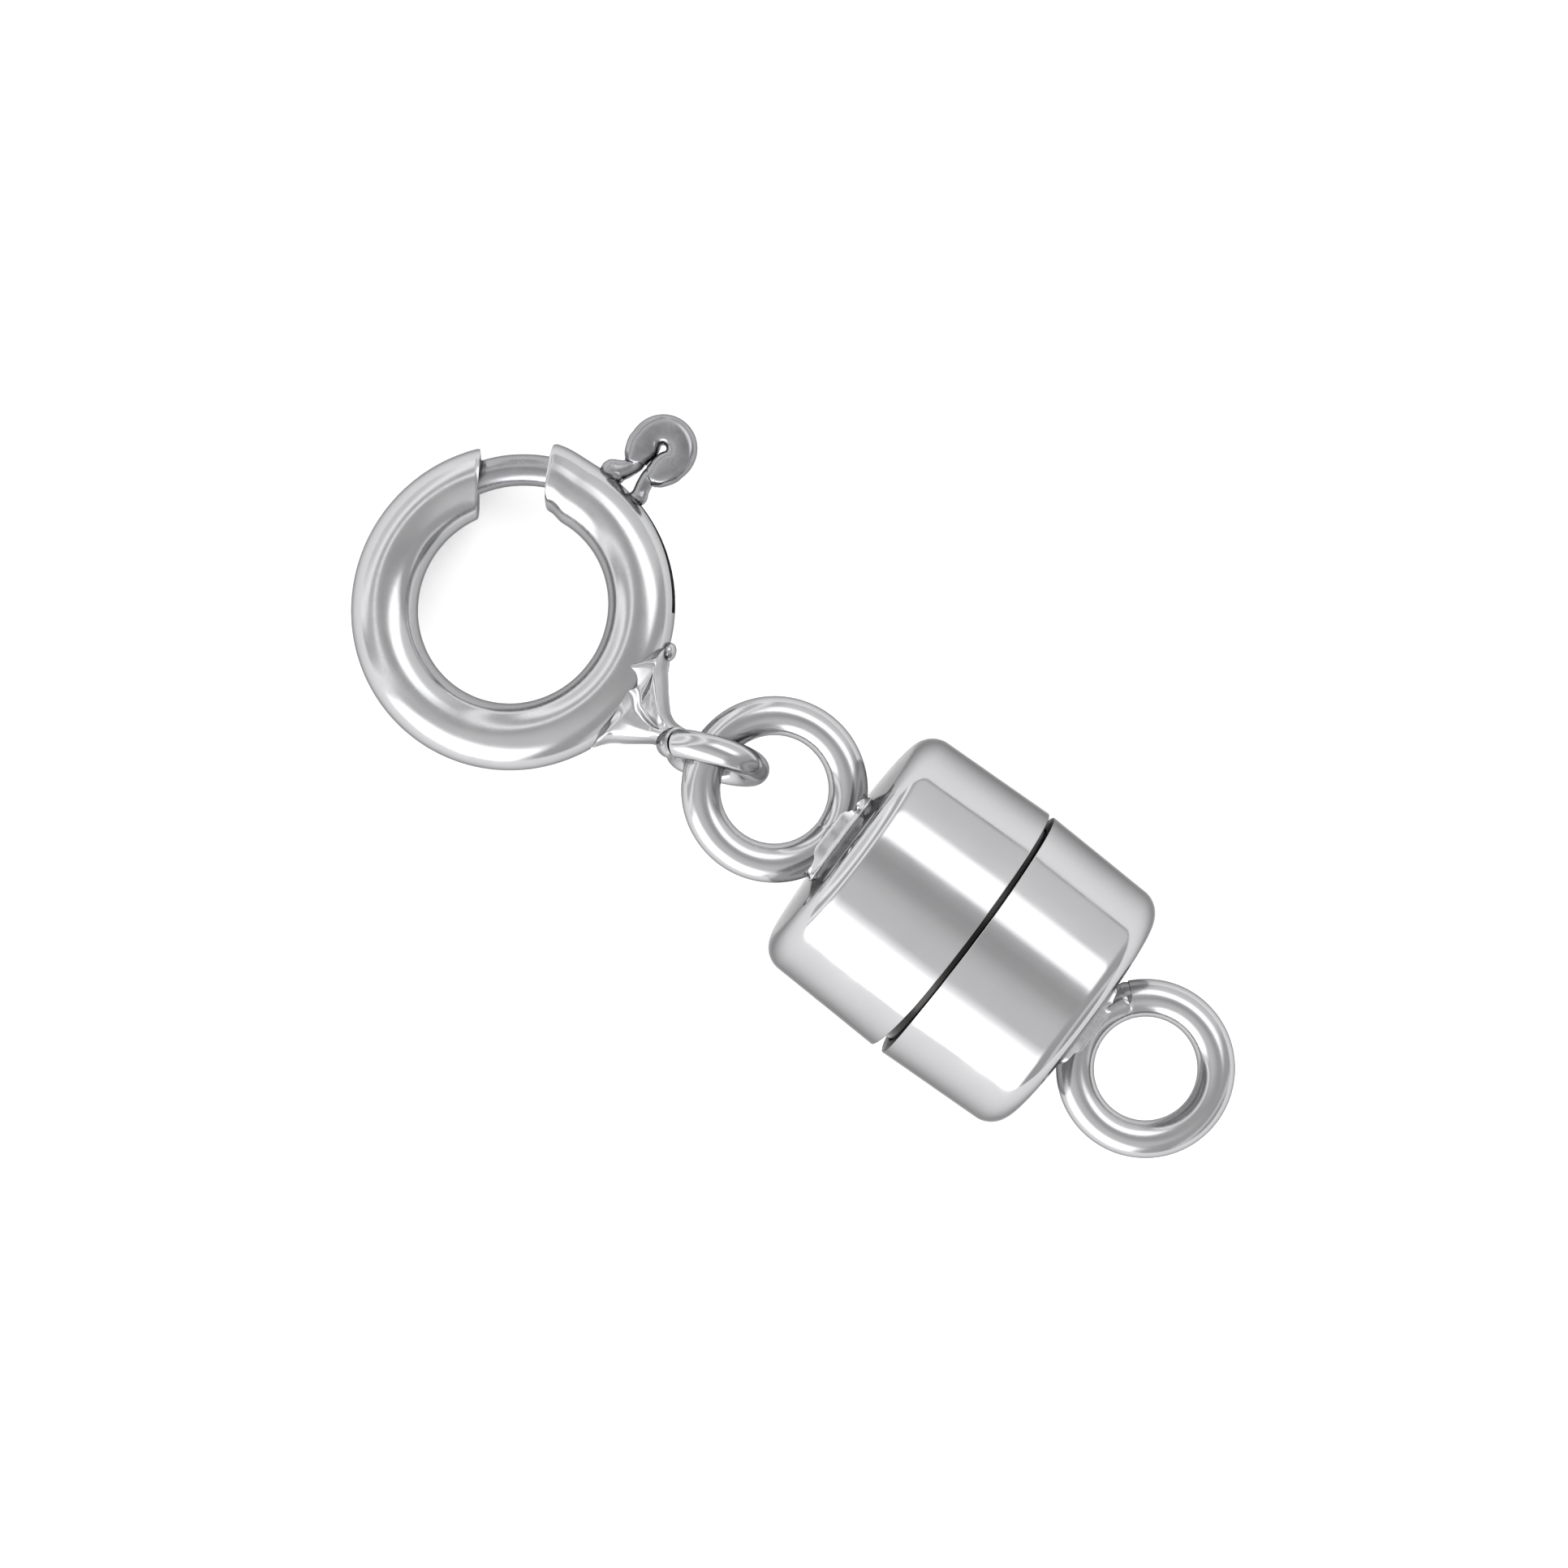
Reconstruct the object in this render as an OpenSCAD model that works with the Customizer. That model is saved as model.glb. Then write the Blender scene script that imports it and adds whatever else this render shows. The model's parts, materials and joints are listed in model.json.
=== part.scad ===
// Magnetic converter clasp: a barrel that parts in the middle, a soldered ring at each end,
// and a spring ring linked through one of them. It lies on a flat surface, barrel along X.

/* [Barrel] */
// Diameter of the barrel at the parting, where it is widest
barrel_d = 4.58; // [4:0.02:5.6]
// Slope of the drawn side of each half, in degrees
barrel_draft = 2; // [0:0.1:3]
// Length of the half that carries the spring ring
inner_len = 2.4; // [2.1:0.05:3.4]
// Length of the half that pulls off
outer_len = 2.3; // [2.1:0.05:3.4]
// Width of the dark line between the halves
seam_gap = 0.12; // [0.06:0.01:0.2]
// Round of each closed end
corner_r = 0.42; // [0.2:0.02:0.6]
// Height that each end face is domed
end_dome = 0.06; // [0.02:0.01:0.12]
// Bevel on each parting rim
rim_bevel = 0.04; // [0.02:0.01:0.08]
// Thickness of the drawn side wall at the parting
side_wall = 0.22; // [0.15:0.01:0.3]
// Thickness of the closed end, behind the magnet
end_wall = 0.4; // [0.34:0.02:0.6]

/* [Magnets] */
// Gap of the glue line around and behind each magnet
glue_gap = 0.03; // [0.02:0.01:0.05]
// Depth that the inner magnet lies below its rim, so that the other one seats in it
seat_depth = 0.35; // [0.2:0.05:0.6]
// Gap between the two magnet faces when the clasp is shut
face_gap = 0.04; // [0.02:0.01:0.08]
// Bevel on the edge of each magnet
magnet_bevel = 0.08; // [0.04:0.01:0.12]

/* [End rings] */
// Outer diameter of the ring on the spring ring's half
link_ring_d = 2.94; // [2.7:0.02:3.4]
// Wire of the ring on the spring ring's half
link_wire_d = 0.62; // [0.5:0.01:0.64]
// Outer diameter of the ring on the pull-off half
tail_ring_d = 2.83; // [2.5:0.02:3.4]
// Wire of the ring on the pull-off half
tail_wire_d = 0.6; // [0.5:0.01:0.7]
// Depth that each ring sinks into its end face
ring_sink = 0.19; // [0.14:0.01:0.26]
// Width of the solder pad across each end face
solder_w = 1.5; // [1.2:0.05:1.8]
// How far the solder pad runs out along the ring
solder_reach = 0.3; // [0.2:0.02:0.4]
// Thickness of the solder pad
solder_t = 0.48; // [0.4:0.02:0.5]
// Width of the cut where each ring's wire was closed
closing_cut_w = 0.05; // [0.03:0.01:0.08]
// Depth of that cut, from the inside of the ring
closing_cut_depth = 0.2; // [0.1:0.01:0.3]
// Direction of the cut in the pull-off half's ring, in degrees
tail_cut_angle = 142; // [100:1:170]

/* [Spring ring] */
// Outer diameter of the spring ring
spring_ring_d = 5.2; // [4.8:0.05:6.5]
// Diameter of its tube
tube_d = 1.07; // [1:0.01:1.2]
// Wall of its tube
tube_wall = 0.12; // [0.08:0.01:0.16]
// Width of the mouth, a straight cut across the tube
mouth_w = 1.2; // [0.9:0.05:1.4]
// Direction of the mouth from the ring's centre, in degrees
mouth_angle = 126.2; // [118:0.2:134]

/* [Bolt and trigger] */
// Diameter of the curved bolt that closes the mouth
bolt_d = 0.5; // [0.4:0.01:0.56]
// Clearance between the bolt and the bore's outer side
bolt_clear = 0.03; // [0.02:0.01:0.06]
// How far the shut bolt enters the far end of the tube, in degrees
bolt_seat = 7; // [4:0.5:10]
// How far the open bolt draws back into the near end, in degrees
bolt_draw = 1; // [0:0.5:2]
// Direction of the trigger from the ring's centre, in degrees
trigger_angle = 83.3; // [80:0.1:88]
// How far the bolt's tail runs on behind the trigger, in degrees
bolt_tail = 20; // [14:1:24]
// Outer diameter of the trigger's knob
knob_d = 1.1; // [0.8:0.02:1.2]
// Thickness of the knob's flattened wire
knob_wire = 0.44; // [0.34:0.01:0.44]
// Distance from the ring's centre to the knob's centre
knob_reach = 3.44; // [3.4:0.02:3.8]
// How far the slot runs on past the legs at each end of their travel, in degrees
slot_play = 1; // [0.5:0.25:2]
// Thickness of each of the trigger's two legs
leg_d = 0.26; // [0.18:0.01:0.28]
// Distance of each leg's axis from the trigger's middle, at the tube's surface
leg_foot = 0.22; // [0.18:0.01:0.24]
// The same distance at the knob
leg_head = 0.15; // [0.08:0.01:0.16]
// Diameter of the flare at the foot of each leg, just outside the tube
flare_d = 0.46; // [0.32:0.01:0.5]
// Height of that flare
flare_h = 0.2; // [0.1:0.01:0.26]
// Width of the slit between the two legs, up to the hole in the knob
knob_slit = 0.04; // [0.02:0.01:0.06]
// Clearance between each leg and the slot, and between each leg and its socket
leg_clear = 0.04; // [0.03:0.01:0.06]

/* [Yoke and eye] */
// Direction of the yoke from the ring's centre, in degrees
yoke_angle = -3.5; // [-8:0.5:4]
// Half of the angle that the yoke's saddle covers on the tube
saddle_half = 20; // [16:0.5:26]
// How far the saddle stands out from the tube
saddle_t = 0.08; // [0.05:0.01:0.12]
// How far outside the tube's crest the saddle's edge lies
saddle_edge = 0.1; // [0.05:0.01:0.2]
// Thickness of the yoke where it leaves the tube
yoke_root_t = 0.96; // [0.8:0.02:1]
// Thickness of the yoke at its neck
yoke_neck_t = 0.56; // [0.52:0.01:0.7]
// Width of the yoke's neck
neck_w = 0.5; // [0.46:0.01:0.56]
// Radius of the hollow curve on each side of the yoke
yoke_curve = 1.08; // [0.9:0.02:1.6]
// Radius that rounds the corners of the neck
neck_round = 0.32; // [0.29:0.01:0.36]
// Gap from the tube to the start of the neck
neck_start = 0.45; // [0.4:0.01:0.6]
// Gap from the tube to the back of the eye's wire path
eye_back = 0.78; // [0.7:0.01:0.9]
// How far the eye's back is set to one side of the yoke's line
eye_shift = 0.09; // [0:0.01:0.12]
// Wire of the eye
eye_wire_d = 0.5; // [0.42:0.01:0.54]
// Radius of the eye's round ends, to the middle of its wire
eye_r = 0.66; // [0.64:0.01:0.75]
// Straight length between the eye's round ends
eye_straight = 0.1; // [0.05:0.01:0.4]
// Turn of the eye from the yoke's own line, in degrees
eye_swing = 26.5; // [20:0.5:30]
// Lean of the eye's top to one side, in degrees
eye_lean = 6; // [0:0.5:12]
// Width of the slit where the eye's wire was closed on the neck
eye_slit = 0.05; // [0.03:0.01:0.08]
// Distance of that slit from the back of the eye's wire path
eye_slit_at = 0.12; // [0:0.01:0.15]
// Height of the foot of that slit above the middle of the wire
eye_slit_low = 0.125; // [0.1:0.005:0.2]

/* [Lie of the link] */
// How far the eye hangs to one side of the barrel's axis
eye_side = 0.2; // [0:0.01:0.3]
// How far the eye stands forward of the middle of its free play
eye_forward = 0.05; // [0:0.01:0.1]
// Gap kept between the eye and the wire that it hangs on
link_gap = 0.03; // [0.02:0.01:0.05]

/* [Hidden] */
$fn = 96;
over = 0.5; // how far a cutting shape runs past what it cuts
dome_sides = 1440; // sides of the large circle that domes an end face

// Barrel and magnets
barrel_r = barrel_d / 2;
axis_h = barrel_r;
bore_r = barrel_r - side_wall;
magnet_r = bore_r - glue_gap;
inner_rim = seam_gap / 2;
inner_face = inner_rim + inner_len;
outer_face = inner_rim + outer_len;
inner_magnet_front = inner_rim + seat_depth;
outer_magnet_front = inner_magnet_front - face_gap;

// Rings soldered to the halves
link_ring_r = (link_ring_d - link_wire_d) / 2;
link_ring_x = -(inner_face + link_ring_d / 2 - ring_sink);
tail_ring_x = outer_face + tail_ring_d / 2 - ring_sink;

// Spring ring, bolt and trigger, in the plane of the spring ring
tube_r = tube_d / 2;
coil_r = spring_ring_d / 2 - tube_r;
tube_bore_r = tube_r - tube_wall;
bolt_r = coil_r + tube_bore_r - bolt_clear - bolt_d / 2;
mouth_half = asin(mouth_w / 2 / bolt_r);
bolt_tip = mouth_angle + mouth_half + bolt_seat;
bolt_travel = 2 * mouth_half + bolt_seat + bolt_draw;
ring_outer_r = spring_ring_d / 2;
knob_ring_r = (knob_d - knob_wire) / 2;
knob_foot = knob_reach - knob_d / 2;
leg_splay = atan((leg_foot - leg_head) / (knob_foot - ring_outer_r));
slot_w = leg_d + 2 * leg_clear;
slot_margin = asin((leg_foot + leg_d / 2 + leg_clear) / ring_outer_r) + slot_play;
slot_from = trigger_angle - bolt_travel - slot_margin;
slot_span = bolt_travel + 2 * slot_margin;

// Yoke and eye, along the yoke's own line
neck_x = ring_outer_r + neck_start;
eye_back_x = ring_outer_r + eye_back;
eye_len = 2 * eye_r + eye_straight;
eye_turn = yoke_angle + eye_swing;
eye_mid = [
    eye_back_x * cos(yoke_angle) + eye_shift * sin(yoke_angle) + eye_len / 2 * cos(eye_turn),
    eye_back_x * sin(yoke_angle) - eye_shift * cos(yoke_angle) + eye_len / 2 * sin(eye_turn)
];

// The eye hangs on the link ring's wire, and the far side of the spring ring lies on the surface
eye_play = eye_r * cos(eye_lean) - eye_wire_d / 2 - link_wire_d / 2 - link_gap;
ring_tilt = asin((axis_h - eye_play - tube_r) / (coil_r + eye_mid[0]));
link_wire_x = link_ring_x - sqrt(pow(link_ring_r, 2) - pow(eye_side, 2));
ring_x = link_wire_x + eye_forward - eye_mid[0] * cos(ring_tilt);
ring_y = -eye_side - eye_mid[1];
ring_z = tube_r + coil_r * sin(ring_tilt);

// The origin is below the middle of the whole part, on the surface
right_x = tail_ring_x + tail_ring_d / 2;
left_x = ring_x - coil_r * cos(ring_tilt) - tube_r;
top_y = ring_y + knob_reach * sin(trigger_angle) + knob_d / 2;
low_y = ring_y - ring_outer_r;
mid_x = (right_x + left_x) / 2;
mid_y = (top_y + low_y) / 2;

module on_axis() {
    translate([-mid_x, -mid_y, axis_h]) children();
}

module in_ring_plane() {
    translate([ring_x - mid_x, ring_y - mid_y, ring_z]) rotate([0, -ring_tilt, 0]) children();
}

module torus(middle_r, wire_r, from = 0, span = 360) {
    rotate([0, 0, from])
        rotate_extrude(angle = span) translate([middle_r, 0]) circle(wire_r);
}

// Outline of one drawn cup as radius and distance from its parting rim
module cup_outline(len) {
    round_at = len - end_dome - corner_r;
    side_r = barrel_r - round_at * tan(barrel_draft);
    round_r = side_r - corner_r / cos(barrel_draft);
    dome_r = (pow(round_r, 2) + pow(end_dome, 2)) / (2 * end_dome);
    intersection() {
        union() {
            polygon([
                [0, 0],
                [barrel_r - rim_bevel, 0],
                [barrel_r - rim_bevel * tan(barrel_draft), rim_bevel],
                [round_r + corner_r * cos(barrel_draft), round_at + corner_r * sin(barrel_draft)],
                [round_r, round_at],
                [round_r, len],
                [0, len]
            ]);
            translate([round_r, round_at]) circle(corner_r);
        }
        translate([0, len - dome_r]) circle(dome_r, $fn = dome_sides);
        square([barrel_r, len]);
    }
}

module cup(len) {
    rotate([0, 90, 0]) difference() {
        rotate_extrude() cup_outline(len);
        translate([0, 0, -over]) cylinder(r = bore_r, h = len - end_wall + over);
    }
}

// One half with its parting rim at the seam: the cup, its ring and the solder between them
module half(len, ring_outer_d, wire_d, cut_angle) {
    middle_r = (ring_outer_d - wire_d) / 2;
    middle_x = len + ring_outer_d / 2 - ring_sink;
    solder_from = len - end_wall / 2;
    solder_h = end_wall / 2 + solder_reach;
    difference() {
        union() {
            cup(len);
            translate([middle_x, 0]) torus(middle_r, wire_d / 2);
            intersection() {
                translate([solder_from, 0]) rotate([0, 90, 0])
                    cylinder(d1 = solder_w + end_wall / 2, d2 = solder_w / 2, h = solder_h);
                cube([2 * middle_x, barrel_d, solder_t], center = true);
            }
        }
        translate([middle_x, 0]) rotate([0, 0, cut_angle])
            translate([middle_r - wire_d, -closing_cut_w / 2, -wire_d])
            cube([wire_d / 2 + closing_cut_depth, closing_cut_w, 2 * wire_d]);
    }
}

module magnet(front, back) {
    rotate([0, 90, 0]) rotate_extrude() polygon([
        [0, front],
        [magnet_r - magnet_bevel, front],
        [magnet_r, front + magnet_bevel],
        [magnet_r, back],
        [0, back]
    ]);
}

module inner_half() {
    color("gainsboro") on_axis() mirror([1, 0, 0]) translate([inner_rim, 0])
        half(inner_len, link_ring_d, link_wire_d, 180);
}

module inner_magnet() {
    color("dimgray") on_axis() mirror([1, 0, 0])
        magnet(inner_magnet_front, inner_face - end_wall - glue_gap);
}

module outer_half() {
    color("gainsboro") on_axis() translate([inner_rim, 0])
        half(outer_len, tail_ring_d, tail_wire_d, tail_cut_angle);
}

module outer_magnet() {
    color("dimgray") on_axis() magnet(-outer_magnet_front, outer_face - end_wall - glue_gap);
}

// Sheet bent around the outside of the tube, which spreads the yoke's pull
module saddle() {
    rotate([0, 0, yoke_angle - saddle_half]) rotate_extrude(angle = 2 * saddle_half) intersection() {
        translate([coil_r, 0]) circle(tube_r + saddle_t);
        translate([coil_r + saddle_edge, -tube_d]) square([tube_d, 2 * tube_d]);
    }
}

// Seen from above: two arms that close in hollow curves to the neck
module yoke_plan() {
    arm = ring_outer_r * [cos(saddle_half), sin(saddle_half)];
    shoulder = [neck_x, neck_w / 2];
    chord = shoulder - arm;
    lift = sqrt(pow(yoke_curve, 2) - pow(norm(chord) / 2, 2)) / norm(chord);
    curve_mid = (arm + shoulder) / 2 + lift * [-chord[1], chord[0]];
    difference() {
        polygon([
            [coil_r, -arm[1]],
            [arm[0], -arm[1]],
            [shoulder[0], -shoulder[1]],
            [eye_back_x, -shoulder[1]],
            [eye_back_x, shoulder[1]],
            shoulder,
            arm,
            [coil_r, arm[1]]
        ]);
        for (side = [-1, 1]) intersection() {
            translate([curve_mid[0], side * curve_mid[1]]) circle(yoke_curve);
            translate([0, -ring_outer_r]) square([neck_x, spring_ring_d]);
        }
    }
}

// Seen from the side: thick at the tube and thin at the neck
module yoke_side() {
    polygon([
        [coil_r, -yoke_root_t / 2],
        [ring_outer_r, -yoke_root_t / 2],
        [neck_x, -yoke_neck_t / 2],
        [eye_back_x, -yoke_neck_t / 2],
        [eye_back_x, yoke_neck_t / 2],
        [neck_x, yoke_neck_t / 2],
        [ring_outer_r, yoke_root_t / 2],
        [coil_r, yoke_root_t / 2]
    ]);
}

module yoke() {
    rotate([0, 0, yoke_angle]) intersection() {
        linear_extrude(2 * yoke_root_t, center = true) yoke_plan();
        rotate([90, 0, 0]) linear_extrude(spring_ring_d, center = true) yoke_side();
        rotate([0, 90, 0]) rotate_extrude() polygon([
            [0, coil_r],
            [ring_outer_r / 2, coil_r],
            [neck_round, neck_x],
            [neck_round, eye_back_x],
            [0, eye_back_x]
        ]);
    }
}

module in_eye_plane() {
    translate(eye_mid) rotate([0, 0, eye_turn]) rotate([90 - eye_lean, 0, 0]) children();
}

module eye() {
    in_eye_plane() for (side = [-1, 1]) {
        translate([side * eye_straight / 2, 0]) torus(eye_r, eye_wire_d / 2, -side * 90, 180);
        translate([0, side * eye_r]) rotate([0, 90, 0])
            cylinder(d = eye_wire_d, h = eye_straight, center = true);
    }
}

module spring_ring() {
    color("gainsboro") in_ring_plane() difference() {
        union() {
            torus(coil_r, tube_r);
            saddle();
            yoke();
            eye();
        }
        torus(coil_r, tube_bore_r);
        rotate([0, 0, mouth_angle]) translate([0, -mouth_w / 2, -tube_d])
            cube([spring_ring_d, mouth_w, 2 * tube_d]);
        rotate([0, 0, slot_from]) rotate_extrude(angle = slot_span)
            translate([coil_r, -slot_w / 2]) square([tube_r + over, slot_w]);
        in_eye_plane() translate([-eye_len / 2 + eye_slit_at, eye_slit_low, -over])
            cube([eye_slit, eye_r + eye_wire_d, 2 * over]);
    }
}

module leg(side, clear = 0) {
    translate([ring_outer_r, side * leg_foot]) rotate([0, 90, -side * leg_splay])
        translate([0, 0, bolt_r - ring_outer_r])
        cylinder(d = leg_d + 2 * clear, h = knob_foot - bolt_r + knob_wire / 2);
}

// Flare that rides just clear of the tube and hides the slot's edge
module flare(side) {
    translate([ring_outer_r + leg_clear, side * leg_foot]) rotate([0, 90, 0])
        cylinder(d1 = flare_d, d2 = leg_d, h = flare_h);
}

module bolt() {
    tail = trigger_angle - bolt_tail;
    color("silver") in_ring_plane() difference() {
        torus(bolt_r, bolt_d / 2, tail, bolt_tip - tail);
        rotate([0, 0, trigger_angle]) for (side = [-1, 1]) leg(side, leg_clear);
    }
}

module trigger() {
    color("silver") in_ring_plane() rotate([0, 0, trigger_angle]) difference() {
        union() {
            translate([knob_reach, 0]) torus(knob_ring_r, knob_wire / 2);
            for (side = [-1, 1]) {
                leg(side);
                flare(side);
            }
        }
        translate([knob_foot - over, -knob_slit / 2, -knob_wire])
            cube([over + knob_wire, knob_slit, 2 * knob_wire]);
    }
}

spring_ring();
bolt();
trigger();
inner_half();
inner_magnet();
outer_half();
outer_magnet();
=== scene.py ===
import json
import math

import bmesh
import bpy
import numpy as np
from mathutils import Matrix, Vector


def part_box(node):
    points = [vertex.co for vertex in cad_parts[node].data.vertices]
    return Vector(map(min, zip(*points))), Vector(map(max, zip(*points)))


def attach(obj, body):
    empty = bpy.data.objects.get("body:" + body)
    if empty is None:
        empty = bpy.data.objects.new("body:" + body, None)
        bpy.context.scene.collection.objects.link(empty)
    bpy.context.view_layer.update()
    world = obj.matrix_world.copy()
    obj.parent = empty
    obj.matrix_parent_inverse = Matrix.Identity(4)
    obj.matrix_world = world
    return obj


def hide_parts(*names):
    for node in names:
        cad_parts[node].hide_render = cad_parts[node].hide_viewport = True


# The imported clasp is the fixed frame, in metres. Sizes below are in millimetres and degrees.
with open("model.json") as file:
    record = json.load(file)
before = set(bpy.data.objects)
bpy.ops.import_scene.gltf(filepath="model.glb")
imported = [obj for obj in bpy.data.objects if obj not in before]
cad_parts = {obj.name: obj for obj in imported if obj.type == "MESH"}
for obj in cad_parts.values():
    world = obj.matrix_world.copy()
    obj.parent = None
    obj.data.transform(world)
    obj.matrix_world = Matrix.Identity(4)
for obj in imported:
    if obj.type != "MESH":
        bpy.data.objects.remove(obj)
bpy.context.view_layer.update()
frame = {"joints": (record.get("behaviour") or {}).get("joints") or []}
mm = 0.001
weld = 0.0002  # points closer than this are made one

# Places that the frame gives
innerLow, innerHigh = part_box("inner_half")
outerLow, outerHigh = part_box("outer_half")
barrelRadius = (outerHigh.z - outerLow.z) / 2 / mm
barrelMid = (outerLow + outerHigh) / 2
boltJoint = next(j for j in frame["joints"] if j["name"] == "bolt_draws_back")
ringNormal = -Vector(boltJoint["axis"]).normalized()


def axesAt(origin, xAxis, yAxis, zAxis):
    turn = Matrix((xAxis, yAxis, zAxis)).transposed().to_4x4()
    return Matrix.Translation(origin) @ turn @ Matrix.Scale(mm, 4)


def turned(place, degrees, about="Z"):
    return place @ Matrix.Rotation(math.radians(degrees), 4, about)


# x runs from a parting rim to its closed end, or from the spring ring's centre to the yoke's side
innerPlace = axesAt(Vector((innerHigh.x, barrelMid.y, barrelMid.z)), (-1, 0, 0), (0, -1, 0), (0, 0, 1))
outerPlace = axesAt(Vector((outerLow.x, barrelMid.y, barrelMid.z)), (1, 0, 0), (0, 1, 0), (0, 0, 1))
ringPlace = axesAt(Vector(boltJoint["pos_m"]), Vector((0, 1, 0)).cross(ringNormal), (0, 1, 0), ringNormal)


def linear(hexColour):
    channels = [int(hexColour[i : i + 2], 16) / 255 for i in (1, 3, 5)]
    return (*[c / 12.92 if c <= 0.04045 else ((c + 0.055) / 1.055) ** 2.4 for c in channels], 1)


def addNode(tree, kind, links=None, **settings):
    node = tree.nodes.new(kind)
    for key, value in settings.items():
        setattr(node, key, value)
    for socket, source in (links or {}).items():
        if isinstance(source, bpy.types.NodeSocket):
            tree.links.new(source, node.inputs[socket])
        else:
            node.inputs[socket].default_value = source
    return node


# Materials. Spacings and depths are in millimetres; edge is how much is mirrored at a glancing angle, kept
# low to paint shade along the silhouettes.

smear = (0.15, 0.4)  # where the blotches times the fine lines mostly lie
metals = {
    # Rhodium over white gold, drawn and buffed: a bright neutral mirror with faint polishing lines
    "PolishedRhodium": dict(light="#b2b2b3", dark="#ababad", roughness=(0.07, 0.14), edge=0.34,
                            blotch=0.9, line=0.05, stretch=(0.12, 1, 1), lineDepth=0.00008,
                            wave=1.6, waveDepth=0.003),
    # The same plating on drawn tube and wire, tumbled rather than buffed, so slightly softer
    "TumbledRhodium": dict(light="#b2b2b3", dark="#a9a9ab", roughness=(0.14, 0.23), edge=0.36,
                           blotch=0.6, line=0.04, stretch=(1, 1, 1), lineDepth=0.0001,
                           wave=0.7, waveDepth=0.0015),
    # The same plating on the bolt and trigger wire, made greyer as painted shade for these darker-looking
    # small parts, with a softer shine
    "PaintedShadeRhodium": dict(light="#98989a", dark="#848487", roughness=(0.18, 0.3), edge=0.45,
                        blotch=0.35, line=0.04, stretch=(1, 1, 1), lineDepth=0.0001,
                        wave=0.5, waveDepth=0.0015),
    # Hard solder, filed and plated over: a little duller, with ripples where it froze
    "PlatedSolder": dict(light="#cfcfd0", dark="#a2a2a5", roughness=(0.2, 0.36), edge=0.7,
                         blotch=0.18, line=0.05, stretch=(1, 1, 1), lineDepth=0.0002,
                         wave=0.22, waveDepth=0.006),
    # Bare drawn metal inside the cups and on their faced rims, painted near black as shade in the bore and
    # along the seam between the cups
    "PaintedShadeBore": dict(light="#303032", dark="#222225", roughness=(0.34, 0.5), edge=0.8,
                      blotch=0.4, line=0.06, stretch=(0.1, 1, 1), lineDepth=0.0005,
                      wave=0.8, waveDepth=0.001),
    # Nickel on pressed magnets, darkened close to black as painted shade where they show in the seam; a
    # little warm, with an even satin grain
    "PaintedShadeNickel": dict(light="#343332", dark="#282726", roughness=(0.2, 0.3), edge=0.8,
                        blotch=0.5, line=0.03, stretch=(1, 1, 1), lineDepth=0.0005,
                        wave=0.6, waveDepth=0.001),
}


def makeMetal(name, look):
    material = bpy.data.materials.new(name)
    material.use_nodes = True
    tree = material.node_tree
    tree.nodes.clear()
    spot = addNode(tree, "ShaderNodeTexCoord").outputs["Object"]
    inMm = addNode(tree, "ShaderNodeMapping", {"Vector": spot, "Scale": (1 / mm, 1 / mm, 1 / mm)}).outputs[0]
    along = addNode(tree, "ShaderNodeMapping", {"Vector": inMm, "Scale": look["stretch"]}).outputs[0]
    blotch = addNode(tree, "ShaderNodeTexNoise", {"Vector": inMm, "Scale": 1 / look["blotch"], "Detail": 4.0})
    lines = addNode(tree, "ShaderNodeTexNoise", {"Vector": along, "Scale": 1 / look["line"], "Detail": 3.0})
    wave = addNode(tree, "ShaderNodeTexNoise", {"Vector": inMm, "Scale": 1 / look["wave"], "Detail": 1.0})
    colour = addNode(tree, "ShaderNodeMix", {0: blotch.outputs[0], 6: linear(look["dark"]),
                                             7: linear(look["light"])}, data_type="RGBA")
    both = addNode(tree, "ShaderNodeMath", {0: blotch.outputs[0], 1: lines.outputs[0]}, operation="MULTIPLY")
    low, high = look["roughness"]
    gloss = addNode(tree, "ShaderNodeMapRange", {"Value": both.outputs[0], "From Min": smear[0],
                                                 "From Max": smear[1], "To Min": low, "To Max": high})
    soft = addNode(tree, "ShaderNodeBump", {"Height": wave.outputs[0], "Strength": 1.0,
                                            "Distance": look["waveDepth"] * mm})
    fine = addNode(tree, "ShaderNodeBump", {"Height": lines.outputs[0], "Strength": 1.0,
                                            "Distance": look["lineDepth"] * mm, "Normal": soft.outputs[0]})
    # The edge colour darkens glancing reflections: painted shade along the silhouettes
    edge = (*[look["edge"]] * 3, 1)
    shader = addNode(tree, "ShaderNodeBsdfPrincipled",
                     {"Base Color": colour.outputs[2], "Metallic": 1.0, "Roughness": gloss.outputs[0],
                      "Normal": fine.outputs[0], "Specular Tint": edge})
    addNode(tree, "ShaderNodeOutputMaterial", {"Surface": shader.outputs[0]})
    return material


metal = {name: makeMetal(name, look) for name, look in metals.items()}
print("metals made:", ", ".join(metal))


# Ways of making a mesh. Points are in millimetres until the piece is placed.

def newPiece(name, points, edges, faces):
    mesh = bpy.data.meshes.new(name)
    mesh.from_pydata([tuple(p) for p in points], edges, faces)
    piece = bpy.data.objects.new(name, mesh)
    bpy.context.scene.collection.objects.link(piece)
    return piece


def newTree(name, inputs):
    tree = bpy.data.node_groups.new(name, "GeometryNodeTree")
    for label, kind in inputs.items():
        tree.interface.new_socket(label, in_out="INPUT", socket_type="NodeSocket" + kind)
    tree.interface.new_socket("Geometry", in_out="OUTPUT", socket_type="NodeSocketGeometry")
    return tree


def endTree(tree, geometry, finish):
    real = addNode(tree, "GeometryNodeRealizeInstances", {"Geometry": geometry})
    smooth = addNode(tree, "GeometryNodeSetShadeSmooth", {"Geometry": real.outputs[0]})
    painted = addNode(tree, "GeometryNodeSetMaterial", {"Geometry": smooth.outputs[0], "Material": finish})
    addNode(tree, "NodeGroupOutput", {0: painted.outputs[0]})
    return tree


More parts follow.
